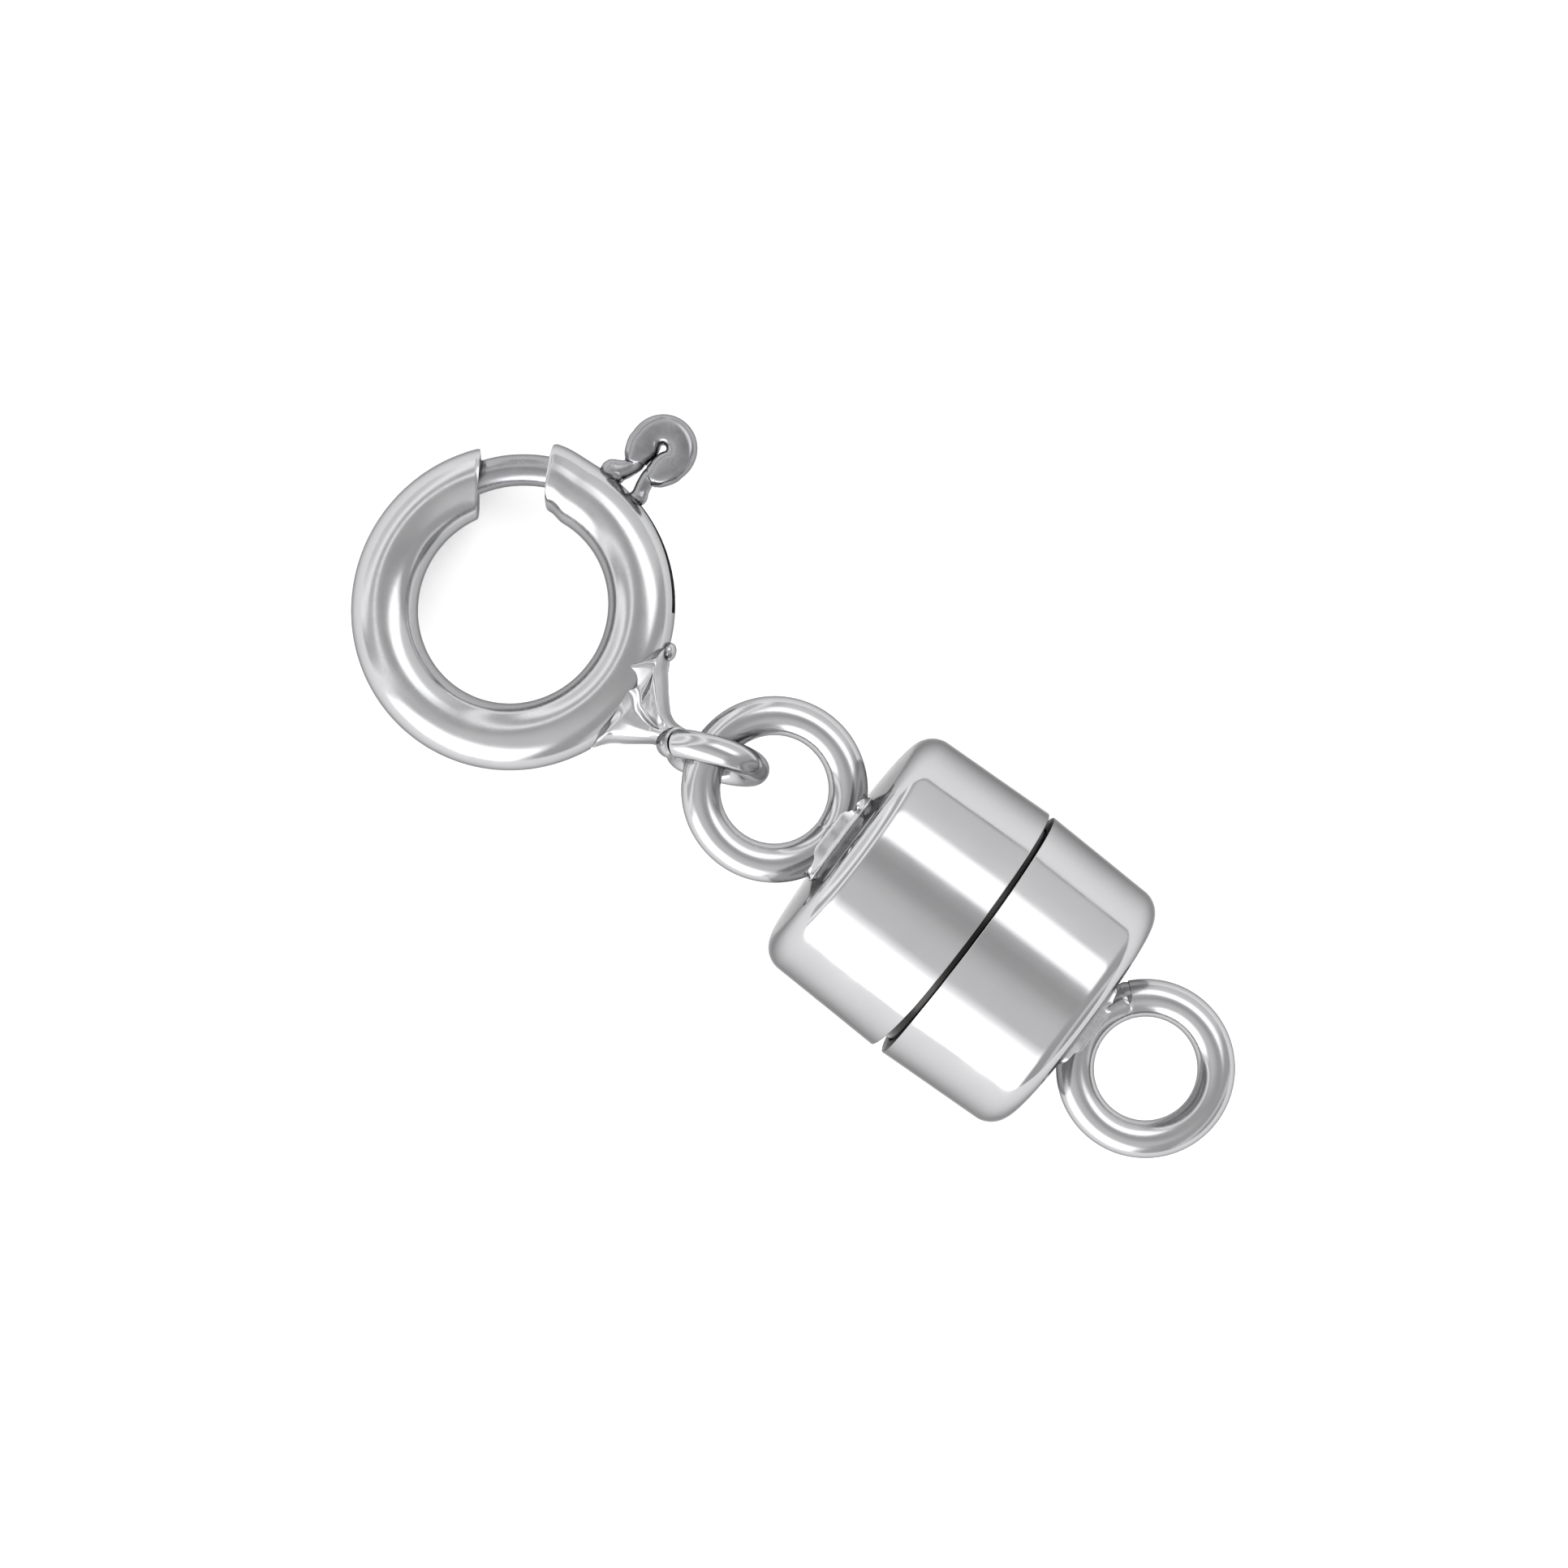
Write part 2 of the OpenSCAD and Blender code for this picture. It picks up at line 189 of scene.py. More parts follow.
# A round section swept along a path whose points carry their own radius
def makeWireTree():
    tree = newTree("SweptWire", {"Path": "Geometry", "Sides": "Int", "Finish": "Material"})
    given = addNode(tree, "NodeGroupInput").outputs
    radius = addNode(tree, "GeometryNodeInputNamedAttribute", {"Name": "wireRadius"}, data_type="FLOAT")
    path = addNode(tree, "GeometryNodeMeshToCurve", {"Mesh": given["Path"]})
    level = addNode(tree, "GeometryNodeSetCurveNormal", {"Curve": path.outputs[0]}, mode="Z_UP")
    section = addNode(tree, "GeometryNodeCurvePrimitiveCircle", {"Resolution": given["Sides"], "Radius": 1.0})
    swept = addNode(tree, "GeometryNodeCurveToMesh", {"Curve": level.outputs[0], "Scale": radius.outputs[0],
                                                      "Profile Curve": section.outputs[0], "Fill Caps": True})
    return endTree(tree, swept.outputs[0], given["Finish"])


# An outline turned about the Z axis, as on a lathe; its x is the radius and its y runs down the axis
def makeLatheTree():
    tree = newTree("TurnedOutline", {"Outline": "Geometry", "Steps": "Int", "Path Radius": "Float",
                                     "Weld": "Float", "Finish": "Material"})
    given = addNode(tree, "NodeGroupInput").outputs
    inward = addNode(tree, "ShaderNodeMath", {0: given["Path Radius"], 1: -1.0}, operation="MULTIPLY")
    shift = addNode(tree, "ShaderNodeCombineXYZ", {"X": inward.outputs[0]})
    outline = addNode(tree, "GeometryNodeMeshToCurve", {"Mesh": given["Outline"]})
    moved = addNode(tree, "GeometryNodeTransform", {"Geometry": outline.outputs[0],
                                                    "Translation": shift.outputs[0]})
    circle = addNode(tree, "GeometryNodeCurvePrimitiveCircle", {"Resolution": given["Steps"],
                                                                "Radius": given["Path Radius"]})
    level = addNode(tree, "GeometryNodeSetCurveNormal", {"Curve": circle.outputs[0]}, mode="Z_UP")
    turnedMesh = addNode(tree, "GeometryNodeCurveToMesh", {"Curve": level.outputs[0],
                                                           "Profile Curve": moved.outputs[0]})
    welded = addNode(tree, "GeometryNodeMergeByDistance", {"Geometry": turnedMesh.outputs[0],
                                                           "Distance": given["Weld"]})
    return endTree(tree, welded.outputs[0], given["Finish"])


wireTree = makeWireTree()
latheTree = makeLatheTree()
wireSides = 48


def runTree(piece, tree, **inputs):
    modifier = piece.modifiers.new(tree.name, "NODES")
    modifier.node_group = tree
    sockets = {s.name: s.identifier for s in tree.interface.items_tree if s.in_out == "INPUT"}
    for label, value in inputs.items():
        modifier[sockets[label.replace("_", " ")]] = value
    made = bpy.data.meshes.new_from_object(piece.evaluated_get(bpy.context.evaluated_depsgraph_get()))
    piece.modifiers.remove(modifier)
    piece.data = made
    return piece


# Places a piece, closes its seams and turns its faces outwards; edges steeper than sharp stay crisp
def finishPiece(piece, place, finish, body, stands=(), sharp=32):
    mesh = piece.data
    if not mesh.materials:
        mesh.materials.append(metal[finish])
    mesh.transform(place)
    work = bmesh.new()
    work.from_mesh(mesh)
    bmesh.ops.remove_doubles(work, verts=work.verts, dist=weld * mm)
    bmesh.ops.dissolve_degenerate(work, edges=work.edges, dist=weld * mm)
    bmesh.ops.recalc_face_normals(work, faces=work.faces)
    if work.calc_volume(signed=True) < 0:
        bmesh.ops.reverse_faces(work, faces=work.faces)
    openEdges = sum(not e.is_manifold for e in work.edges)
    work.to_mesh(mesh)
    work.free()
    mesh.polygons.foreach_set("use_smooth", [True] * len(mesh.polygons))
    mesh.set_sharp_from_angle(angle=math.radians(sharp))
    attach(piece, body)
    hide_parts(*stands)
    print(f"  {piece.name}: {len(mesh.polygons)} faces, {openEdges} open edges")
    return piece


def arc(midX, midY, radius, start, end, count):
    turn = np.radians(np.linspace(start, end, count))
    return [(midX + radius * math.cos(t), midY + radius * math.sin(t)) for t in turn]


# The outline is pairs of distance along the axis and radius
def turnPiece(name, outline, steps, finish):
    flipped = [(radius, -along, 0) for along, radius in outline]
    piece = newPiece(name, flipped, [(i, i + 1) for i in range(len(flipped) - 1)], [])
    return runTree(piece, latheTree, Steps=steps, Path_Radius=1.0, Weld=weld, Finish=metal[finish])


def wirePiece(name, path, radii, finish, closed=False):
    last = len(path)
    edges = [(i, (i + 1) % last) for i in range(last if closed else last - 1)]
    piece = newPiece(name, path, edges, [])
    radius = piece.data.attributes.new("wireRadius", "FLOAT", "POINT")
    radius.data.foreach_set("value", np.asarray(radii, np.float32))
    return runTree(piece, wireTree, Sides=wireSides, Finish=metal[finish])


def smoothRows(rows, steps):
    # Catmull-Rom through every row of a table
    table = np.array(rows, float)
    table = np.vstack([2 * table[0] - table[1], table, 2 * table[-1] - table[-2]])
    out = []
    for a, b, c, d in zip(table, table[1:], table[2:], table[3:]):
        for t in np.arange(steps) / steps:
            out.append(0.5 * (2 * b + (c - a) * t + (2 * a - 5 * b + 4 * c - d) * t**2
                              + (3 * b - a - 3 * c + d) * t**3))
    return np.array(out + [table[-2]])


def smoothStep(low, high, value):
    t = np.clip((value - low) / (high - low), 0, 1)
    return t * t * (3 - 2 * t)


# Barrel: two drawn cups with a magnet in each

barrel = dict(draft=2, cornerRound=0.42, endDome=0.06, rimRound=0.018, rimReach=0.1, sideWall=0.22,
              endWall=0.4, boreRound=0.12,
              steps=288, domeSteps=16, cornerSteps=28, sideSteps=14, roundSteps=7,
              seamBack=-0.014,  # below 0 the rims come closer together than the solids' rims
              seamOpen=0.055, openPower=4, seamReach=0.9)  # the gape, how soon it opens, how far along
magnet = dict(faceRound=0.08, faceSteps=9, backRound=0.04, backSteps=7, steps=160)
ringOf = {
    "link": dict(outer=2.94, wire=0.62, sink=0.19, cutAt=180, place=innerPlace, body="clasp_body",
                 cup="innerCup", node="inner_half", length=(innerHigh.x - innerLow.x) / mm),
    "tail": dict(outer=2.83, wire=0.6, sink=0.19, cutAt=142, place=outerPlace, body="pull_off_half",
                 cup="outerCup", node="outer_half", length=(outerHigh.x - outerLow.x) / mm),
}
for end in ringOf.values():
    end["cupLength"] = end["length"] - end["outer"] + end["sink"]
    end["ringX"] = end["length"] - end["outer"] / 2


def cupOutline(length):
    slope = math.radians(barrel["draft"])
    corner, dome, rim = barrel["cornerRound"], barrel["endDome"], barrel["rimRound"]
    roundAt = length - dome - corner
    roundR = barrelRadius - roundAt * math.tan(slope) - corner / math.cos(slope)
    domeR = ((dome + corner) ** 2 + roundR**2 - corner**2) / (2 * dome)  # tangent to the corner's arc
    meet = math.degrees(math.atan2(roundR, roundAt - length + domeR))
    bore = barrelRadius - barrel["sideWall"]
    depth = length - barrel["endWall"]
    fillet = barrel["boreRound"]
    sideFrom = np.array((roundAt + corner * math.sin(slope), roundR + corner * math.cos(slope)))
    sideTo = np.array((rim, barrelRadius - rim * math.tan(slope)))
    side = [tuple(sideFrom + (sideTo - sideFrom) * t) for t in np.linspace(0, 1, barrel["sideSteps"])[1:-1]]
    few = barrel["roundSteps"]
    return (arc(length - domeR, 0, domeR, 0, meet, barrel["domeSteps"])[:-1]
            + arc(roundAt, roundR, corner, meet, 90 - barrel["draft"], barrel["cornerSteps"])
            + side
            + arc(rim, barrelRadius - rim, rim, 90, 180, few)
            + arc(rim, bore + rim, rim, 180, 270, few)
            + arc(depth - fillet, bore - fillet, fillet, 90, 0, few)
            + [(depth, 0)])


def makeCup(end):
    cup = turnPiece(end["cup"], cupOutline(end["cupLength"]), barrel["steps"], "PolishedRhodium")
    mesh = cup.data
    mesh.transform(Matrix.Rotation(math.pi / 2, 4, "Y"))
    # The two rims were faced by hand: they nearly meet, and gape a little at one side
    where = np.zeros(len(mesh.vertices) * 3)
    mesh.vertices.foreach_get("co", where)
    where = where.reshape(-1, 3)
    side = 1 if end["node"] == "outer_half" else -1
    gape = np.clip(-side * where[:, 1] / barrelRadius, 0, 1) ** barrel["openPower"]
    back = barrel["seamBack"] + barrel["seamOpen"] * gape
    where[:, 0] += back * (1 - smoothStep(0, barrel["seamReach"], where[:, 0]))
    mesh.vertices.foreach_set("co", where.ravel())
    # The bore and the faced rim get the near-black bore metal: painted shade for the bore and the dark seam
    mesh.materials.append(metal["PaintedShadeBore"])
    middle = np.zeros(len(mesh.polygons) * 3)
    mesh.polygons.foreach_get("center", middle)
    middle = middle.reshape(-1, 3)
    halfRound = barrel["rimRound"] / 2
    outward = np.hypot(middle[:, 1], middle[:, 2])
    inBore = outward < barrelRadius - barrel["sideWall"] + halfRound
    inBore &= middle[:, 0] < end["cupLength"] - barrel["endWall"] + halfRound
    onRim = (outward < barrelRadius - halfRound) & (middle[:, 0] < barrel["rimReach"])
    mesh.polygons.foreach_set("material_index", (inBore | onRim).astype(np.int32))
    return finishPiece(cup, end["place"], None, end["body"], [end["node"]])


def makeMagnet(name, node, body, place):
    low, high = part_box(node)
    radius = (high.z - low.z) / 2 / mm
    away = place.inverted()
    front, back = sorted((away @ Vector((x, barrelMid.y, barrelMid.z))).x for x in (low.x, high.x))
    face, rear = magnet["faceRound"], magnet["backRound"]
    outline = ([(front, 0), (front, radius / 2)]
               + arc(front + face, radius - face, face, 180, 90, magnet["faceSteps"])
               + arc(back - rear, radius - rear, rear, 90, 0, magnet["backSteps"])
               + [(back, radius / 2), (back, 0)])
    # The magnets' near-black colour is partly painted shade for the seam
    piece = turnPiece(name, outline, magnet["steps"], "PaintedShadeNickel")
    return finishPiece(piece, turned(place, 90, "Y"), None, body, [node])


print("barrel")
for end in ringOf.values():
    makeCup(end)
makeMagnet("innerMagnet", "inner_magnet", "clasp_body", innerPlace)
makeMagnet("outerMagnet", "outer_magnet", "pull_off_half", outerPlace)


# End rings: bent wire, butted closed and soldered into a dab on the end face

ringLook = dict(segments=220, cutDepth=0.035, cutWidth=0.028, cutShare=0.9,
                fineAngle=0.14, fineSteps=41, fineClear=0.01)
solder = dict(halfWidth=0.73, halfThick=0.325, reach=0.27, sunk=0.1, flare=0.10, flareFall=0.05, flareUp=0.6,
              topRound=0.09, corner=5.0, crown=0.16, flatFrom=0.8, lump=0.012, lumpWaves=(6.2, 9, 7, 4),
              around=220, levels=44)
# Pits in the solder: across the barrel, out from the end face, radius and depth
pits = {"link": [(-0.12, 0.05, 0.05, 0.05), (-0.52, 0.07, 0.045, 0.045)], "tail": [(0.42, 0.17, 0.05, 0.04)]}


def makeEndRing(name, end):
    wire = end["wire"] / 2
    middle = end["outer"] / 2 - wire
    cutAt = math.radians(end["cutAt"])
    turn = np.linspace(-math.pi, math.pi, ringLook["segments"], endpoint=False)
    fine = ringLook["fineAngle"]
    close = np.linspace(-fine, fine, ringLook["fineSteps"])  # finer steps about the butted joint
    turn = np.sort(np.concatenate([turn[np.abs(turn) > fine + ringLook["fineClear"]], close]))
    dip = ringLook["cutDepth"] * np.exp(-((turn * middle / ringLook["cutWidth"]) ** 2))
    reach = middle + dip * ringLook["cutShare"]  # the joint is flush outside and notched inside
    path = np.stack([end["ringX"] + reach * np.cos(turn + cutAt), reach * np.sin(turn + cutAt), 0 * turn], 1)
    ring = wirePiece(name, path, wire - dip, "TumbledRhodium", closed=True)
    return finishPiece(ring, end["place"], None, end["body"])


def makeSolder(name, end, holes):
    count, top = solder["around"], solder["topRound"]
    turn = np.linspace(0, 2 * math.pi, count, endpoint=False)
    power = 2 / solder["corner"]
    across = np.sign(np.cos(turn)) * np.abs(np.cos(turn)) ** power
    upward = np.sign(np.sin(turn)) * np.abs(np.sin(turn)) ** power
    a, b, c, d = solder["lumpWaves"]
    rows = []
    for level in np.linspace(0, 1, solder["levels"]):
        out = -solder["sunk"] + level * (solder["sunk"] + solder["reach"])
        spread = solder["flare"] * math.exp(-max(out, 0) / solder["flareFall"])
        edge = np.sqrt(max(0.0, 1 - max(0.0, (out - solder["reach"] + top) / top) ** 2))
        shrink = top * (1 - edge)
        width = solder["halfWidth"] + spread - shrink
        thick = solder["halfThick"] + spread * solder["flareUp"] - shrink
        thick = thick * (1 - solder["crown"] * across**2)
        lump = solder["lump"] * np.sin(a * across + b * out) * np.cos(c * across - d * out)
        row = np.stack([np.full_like(turn, end["cupLength"] + out), width * across,
                        (thick + lump) * upward], 1)
        flat = np.sign(row[:, 2]) * (np.abs(upward) > solder["flatFrom"])
        for holeY, holeX, radius, depth in holes:
            gap = np.hypot(row[:, 1] - holeY, out - holeX)
            row[:, 2] -= flat * depth * np.exp(-((gap / radius) ** 2))
        rows.append(row)
    last = (len(rows) - 1) * count
    faces = [(r + i, r + (i + 1) % count, r + count + (i + 1) % count, r + count + i)
             for r in range(0, last, count) for i in range(count)]
    faces += [tuple(range(count)), tuple(range(last, last + count))]
    dab = newPiece(name, np.concatenate(rows), [], faces)
    return finishPiece(dab, end["place"], "PlatedSolder", end["body"])


print("end rings")
for key, end in ringOf.items():
    makeEndRing(key + "Ring", end)
    makeSolder(key + "Solder", end, pits[key])


# Spring ring: a hollow tube with a straight-cut mouth and a slot for the trigger

tube = dict(coil=2.065, radius=0.53, wall=0.12, around=300, across=80,
            mouthWidth=1.2, mouthAt=126.2, settle=13,  # the rows turn into the cut over settle degrees
            upright=2.6, tongue=4.5,  # degrees that each end's cut strays from square
            flare=0.08, flareReach=13,  # the trigger's end swells out a little
            bevel=0.015, bevelSet=0.03, bevelAngle=0.1,
            slotWidth=0.28, slotFrom=33.8, slotTo=92.9, slotSteps=8, slotClear=0.7, slotSlack=0.01,
            lipHole=(0.275, 0.34), lipShift=0.075, lipFrom=2.2, lipTo=4.2, lipRows=(0.4, 1.2))


# How far round the ring a straight cut lies at each place of the tube's section
def mouthHalf(phi, radius, width):
    return np.degrees(np.arcsin(width / 2 / (tube["coil"] + radius * np.cos(phi))))


def makeTube():
    inner = tube["radius"] - tube["wall"]
    slot = (tube["slotFrom"] + 360, tube["slotTo"] + 360)
    crest = mouthHalf(math.pi / 2, tube["radius"], tube["mouthWidth"])
    start, stop = tube["mouthAt"] + crest, tube["mouthAt"] + 360 - crest
    middle = (start + stop) / 2
    base = np.linspace(start, stop, tube["around"])
    clear = np.minimum(np.abs(base - slot[0]), np.abs(base - slot[1])) > tube["slotClear"]
    lipRows = np.array((*tube["lipRows"], *np.linspace(tube["lipFrom"], tube["lipTo"], 5)))
    base = np.unique(np.round(np.concatenate([base[clear], slot, start + lipRows, stop - lipRows]), 5))
    slotHalf = {r: math.asin(tube["slotWidth"] / 2 / r) for r in (tube["radius"], inner)}
    skins = []
    for radius in (tube["radius"], inner):
        half, steps = slotHalf[radius], tube["slotSteps"]
        phi = np.concatenate([np.linspace(-half, half, steps + 1),
                              np.linspace(half, 2 * math.pi - half, tube["across"] - steps)[1:-1]])
        grid = np.zeros((len(base), len(phi), 3))
        for i, along in enumerate(base):
            theta = np.full_like(phi, along)
            swell, coil = radius, tube["coil"]
            for sign, limit in ((1, start), (-1, stop)):
                near = abs(along - limit)
                atEnd = near < tube["bevelAngle"]
                if near < tube["settle"]:
                    width = tube["mouthWidth"] + (0 if atEnd else tube["bevelSet"])
                    shift = sign * (mouthHalf(phi, radius, width) - crest)
                    if sign > 0:
                        shift -= tube["upright"] * np.sin(phi)  # this end is cut upright, not square
                    else:
                        shift += tube["tongue"] * ((1 - np.cos(phi)) / 2) ** 2  # longer on the hole's side
                    theta = theta + shift * (1 - near / tube["settle"])
                if atEnd and radius == tube["radius"]:
                    swell = radius - tube["bevel"]
                if radius == inner:
                    # Both ends are turned in to guide the bolt
                    lip = 1 - smoothStep(tube["lipFrom"], tube["lipTo"], near)
                    hole = tube["lipHole"][along > middle]
                    swell += (hole - inner + (tube["bevel"] if atEnd else 0)) * lip
                    coil += tube["lipShift"] * lip
            coil += tube["flare"] * (1 - smoothStep(0, tube["flareReach"], abs(along - stop)))
            rho = coil + swell * np.cos(phi)
            turn = np.radians(theta)
            grid[i] = np.stack([rho * np.cos(turn), rho * np.sin(turn), swell * np.sin(phi)], 1)
        skins.append(grid)
    rows, columns = skins[0].shape[:2]
    inSlot = (base[:-1] > slot[0] - tube["slotSlack"]) & (base[1:] < slot[1] + tube["slotSlack"])
    kept = np.ones((rows - 1, columns), bool)
    kept[inSlot, : tube["slotSteps"]] = False

    def number(skin, i, j):
        return (skin * rows + i) * columns + j % columns

    faces = []
    for i in range(rows - 1):
        for j in range(columns):
            if kept[i, j]:
                for skin in (0, 1):
                    faces.append((number(skin, i, j), number(skin, i, j + 1), number(skin, i + 1, j + 1),
                                  number(skin, i + 1, j)))
            if kept[i, j] != kept[i, j - 1]:
                faces.append((number(0, i, j), number(0, i + 1, j), number(1, i + 1, j), number(1, i, j)))
    for j in range(columns):
        for i in range(rows):
            above = i < rows - 1 and kept[i, j]
            below = i > 0 and kept[i - 1, j]
            if above != below:
                faces.append((number(0, i, j), number(0, i, j + 1), number(1, i, j + 1), number(1, i, j)))
    piece = newPiece("springTube", np.concatenate([s.reshape(-1, 3) for s in skins]), [], faces)
    return finishPiece(piece, ringPlace, "TumbledRhodium", "clasp_body", ["spring_ring"])


print("spring ring")
makeTube()


# Yoke: two forged arms on the outside of the tube, drawn together into a tall narrow neck

yoke = dict(turn=-3.5, start=2.2, end=3.42, columns=161, rows=150, edgeShare=0.75, outlineSteps=6,
            grip=0.03, hide=0.02,  # how deep its feet and its skin lie in the tube's
            edgePower=14, soften=0.05, softSteps=9,
            lean=0.12, leanFrom=2.38, leanTo=2.75,  # near the tube the crease swings aside
            neckFrom=3.02, neckTo=3.28, neckHeight=0.47,
            tip=(2.63, 20.4), tipSize=(0.1, 0.15, 0.2), tipSteps=(32, 48))
# Distance from the ring's centre, and the angles of the yoke's lower and upper outline there
yokeOutline = [(2.2, -13, 14), (2.35, -16.5, 18), (2.5, -20.5, 22), (2.59, -23.6, 23.4), (2.64, -20.5, 19),
               (2.68, -18.2, 15.6), (2.75, -16, 12.6), (2.83, -14.2, 9.6), (2.91, -12.4, 7),
               (3.05, -9.4, 3.5), (3.18, -7.2, 1.9), (3.3, -6.6, 1.6), (3.42, -6.5, 1.7)]
# Across it, from -1 to 1: the lower arm, the crease, a bevel up to a ridge, and the far side
yokeSpots = [-1, -0.9, -0.7, -0.4, -0.1, 0.04, 0.5, 0.6, 0.85, 1]
yokeHeights = [0, 0.2, 0.31, 0.39, 0.41, 0.34, 0.5, 0.5, 0.3, 0]


def yokeTop(share, rho):
    nudges = np.linspace(-1, 1, yoke["softSteps"]) * yoke["soften"]
    lean = yoke["lean"] * (1 - smoothStep(yoke["leanFrom"], yoke["leanTo"], rho))
    spot = share - lean * (1 - share**2)
    arms = np.mean([np.interp(spot + n, yokeSpots, yokeHeights, 0, 0) for n in nudges], axis=0)
    blade = yoke["neckHeight"] * np.sqrt(1 - share**2)
    blend = smoothStep(yoke["neckFrom"], yoke["neckTo"], rho)
    return (arms * (1 - blend) + blade * blend) * (1 - np.abs(share) ** yoke["edgePower"])


def makeYoke():
    table = smoothRows(yokeOutline, yoke["outlineSteps"])
    skin = tube["coil"] + tube["radius"]
    equator = skin - yoke["grip"]
    rho = np.sort(np.append(np.linspace(yoke["start"], yoke["end"], yoke["rows"]), [equator, skin]))
    low, high = (np.radians(np.interp(rho, table[:, 0], table[:, column])) for column in (1, 2))
    even = np.linspace(-1, 1, yoke["columns"])
    fine = yoke["edgeShare"]
    share = fine * np.sin(even * math.pi / 2) + (1 - fine) * even  # finer towards both edges
    off = rho - tube["coil"]
    gripZ = np.sqrt(np.clip((tube["radius"] - yoke["grip"]) ** 2 - off**2, 0, None))
    hideZ = np.sqrt(np.clip((tube["radius"] - yoke["hide"]) ** 2 - off**2, 0, None))
    tops, bottoms, grips = [], [], []
    for i, r in enumerate(rho):
        z = np.maximum(yokeTop(share, r), hideZ[i])
        turn = (low[i] + high[i]) / 2 + share * (high[i] - low[i]) / 2
        x, y = r * np.cos(turn), r * np.sin(turn)
        tops.append(np.stack([x, y, z], 1))
        bottoms.append(np.stack([x, y, -z], 1))
        if r <= equator:
            grips.append(gripZ[i])
    last = len(grips) - 1
    points = [np.concatenate(tops), np.concatenate(bottoms)]
    for sign in (1, -1):
        points.append(np.concatenate([np.stack([t[:, 0], t[:, 1], sign * np.full(len(t), g)], 1)
                                      for t, g in zip(tops, grips)]))
    count, rows = yoke["columns"], len(rho)
    offset = [0, rows * count, 2 * rows * count, (2 * rows + last + 1) * count]
    faces = []
    for layer, upTo in enumerate((rows - 1, rows - 1, last, last)):
        for i in range(upTo):
            for j in range(count - 1):
                a = offset[layer] + i * count + j
                faces.append((a, a + 1, a + count + 1, a + count))
    for j in range(count - 1):
        for outer, inner in ((0, 2), (1, 3)):
            a, b = offset[outer] + j, offset[inner] + j
            faces.append((a, a + 1, b + 1, b))
        a, b = (rows - 1) * count + j, offset[1] + (rows - 1) * count + j
        faces.append((a, a + 1, b + 1, b))
    for j in (0, count - 1):
        for i in range(rows - 1):
            top, bottom, above, below = (first + i * count + j for first in offset)
            if i < last:
                faces.append((top, top + count, above + count, above))
                faces.append((bottom, bottom + count, below + count, below))
            else:
                meet = (above,) if i == last else ()
                faces.append((top, top + count, bottom + count, bottom, *meet))
    piece = newPiece("yoke", np.concatenate(points), [], faces)
    finishPiece(piece, ringPlace, "TumbledRhodium", "clasp_body", sharp=40)
    # The upper arm ends in a small lump
    down, about = yoke["tipSteps"]
    lump = turnPiece("yokeTip", arc(0, 0, 1, 0, 180, down), about, "TumbledRhodium")
    lump.data.transform(Matrix.Diagonal((*yoke["tipSize"], 1)))
    lumpPlace = turned(ringPlace, yoke["tip"][1]) @ Matrix.Translation((yoke["tip"][0], 0, 0))
    finishPiece(lump, lumpPlace, None, "clasp_body")


print("yoke and eye")
makeYoke()


# Eye: the yoke's end curled round the link ring's wire and butted on the neck

eye = dict(wire=0.47, radius=0.66, straight=0.1, spread=5, swing=26.5, lean=6, back=3.38, shift=0.09,
           slitFrom=127.5, gap=1.2, steps=150, bevel=0.03, backWire=0.3, pull=0.1, backReach=50,
           collarReach=34, collarRise=8, collar=0.02)


def makeEye():
    length = 2 * eye["radius"] + eye["straight"]
    turn = yoke["turn"] + eye["swing"]
    line, across = math.radians(yoke["turn"]), math.radians(yoke["turn"] - 90)
    middle = [eye["back"] * f(line) + eye["shift"] * f(across) + length / 2 * f(math.radians(turn))
              for f in (math.cos, math.sin)]
    angle = np.radians(np.linspace(eye["slitFrom"], eye["slitFrom"] - 360 + eye["gap"], eye["steps"]))
    side = np.clip(eye["spread"] * np.cos(angle), -1, 1)  # the two halves stand a straight piece apart
    path = np.stack([eye["radius"] * np.cos(angle) + eye["straight"] / 2 * side,
                     eye["radius"] * np.sin(angle), 0 * angle], 1)
    # Its back thins out inside the neck, and its end makes a small collar
    past = np.degrees(angle) + 180
    behind = smoothStep(eye["backReach"], 0, past) * smoothStep(-eye["collarReach"], 0, past)
    path[:, 0] += eye["pull"] * behind
    radii = eye["wire"] / 2 + (eye["backWire"] - eye["wire"]) / 2 * behind
    radii += eye["collar"] * smoothStep(-eye["collarReach"], -eye["collarReach"] - eye["collarRise"], past)
    radii[0] -= eye["bevel"]
    radii[-1] -= eye["bevel"]
    place = (ringPlace @ Matrix.Translation((*middle, 0)) @ Matrix.Rotation(math.radians(turn), 4, "Z")
             @ Matrix.Rotation(math.radians(90 - eye["lean"]), 4, "X"))
    piece = wirePiece("eye", path, radii, "TumbledRhodium")
    return finishPiece(piece, place, None, "clasp_body")


makeEye()


# Bolt and trigger: curved wire in the tube, and a flattened hairpin of wire set in it

bolt = dict(coil=2.2, wire=0.5, tail=63.3, tip=149.0, steps=90, noseRound=0.06)
boltDroop = ([100, 112, 130, 149], [0, 0.01, -0.025, -0.07])  # its free end is bent in a little
# Out from the ring's centre, across, and the wire's half-width along each leg of the hairpin
leftFoot = [(2.3, 0.2, 0.12), (2.5, 0.22, 0.125), (2.57, 0.26, 0.15), (2.62, 0.32, 0.21),
            (2.66, 0.3075, 0.2025), (2.72, 0.265, 0.175), (2.8, 0.21, 0.15)]
rightFoot = [(2.3, 0.2, 0.12), (2.5, 0.22, 0.125), (2.57, 0.235, 0.13), (2.62, 0.25, 0.14),
             (2.66, 0.24, 0.135), (2.72, 0.215, 0.125), (2.8, 0.185, 0.125)]
bothLegs = [(2.93, 0.1575, 0.1325), (3.0, 0.18, 0.184), (3.1, 0.222, 0.232), (3.2, 0.25, 0.26),
            (3.3, 0.278, 0.267), (3.4, 0.306, 0.247)]
